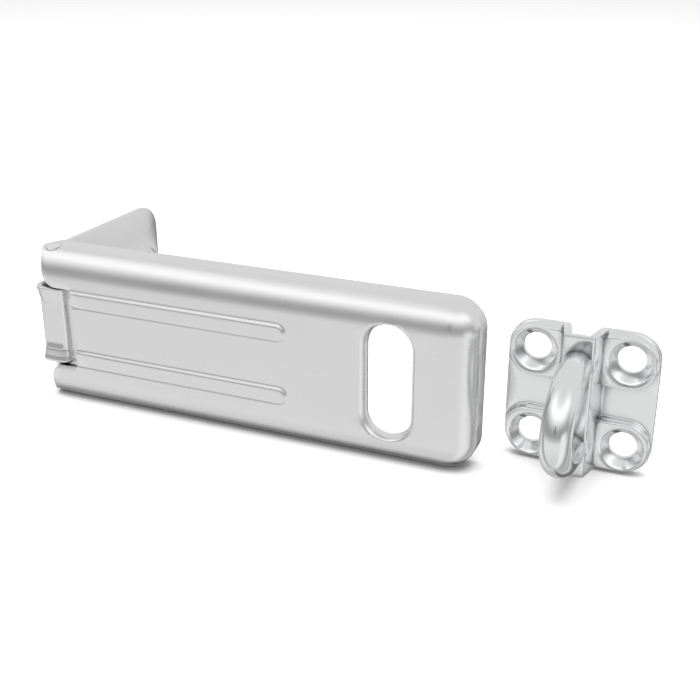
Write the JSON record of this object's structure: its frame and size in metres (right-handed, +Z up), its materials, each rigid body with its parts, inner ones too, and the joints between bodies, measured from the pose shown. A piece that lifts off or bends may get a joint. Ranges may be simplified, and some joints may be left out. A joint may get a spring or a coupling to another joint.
{
  "type": "hasp",
  "caption": "Swinging hasp: a drawn sheet strap with an oblong slot, hinged on a screw-on leaf, with a separate screw-on staple plate that carries a rod loop for a padlock.",
  "frame": {"origin": "middle of the hinge leaf's back, on the face that lies on the post", "axes": "+X runs from the post along the strap to its free end, +Z is up along the hinge pin, and -Y is the side of the strap and of the staple loop that is seen in use"},
  "size_m": [0.146, 0.0626, 0.038],
  "materials": {
    "satin_zinc": "satin zinc plating on steel",
    "bright_zinc": "bright, nearly mirror zinc plating on steel"
  },
  "bodies": {
    "fixed_side": {"hinge_leaf": "satin_zinc", "staple_plate": "bright_zinc", "staple_loop": "bright_zinc"},
    "swinging_strap": {"strap": "satin_zinc", "hinge_pin": "satin_zinc"}
  },
  "joints": [
    {"name": "strap_hinge", "type": "hinge", "parent": "fixed_side", "child": "swinging_strap", "pos_m": [0.0045, -0.0245, 0], "axis": [0, 0, 1], "range_deg": [-89, 90]}
  ]
}
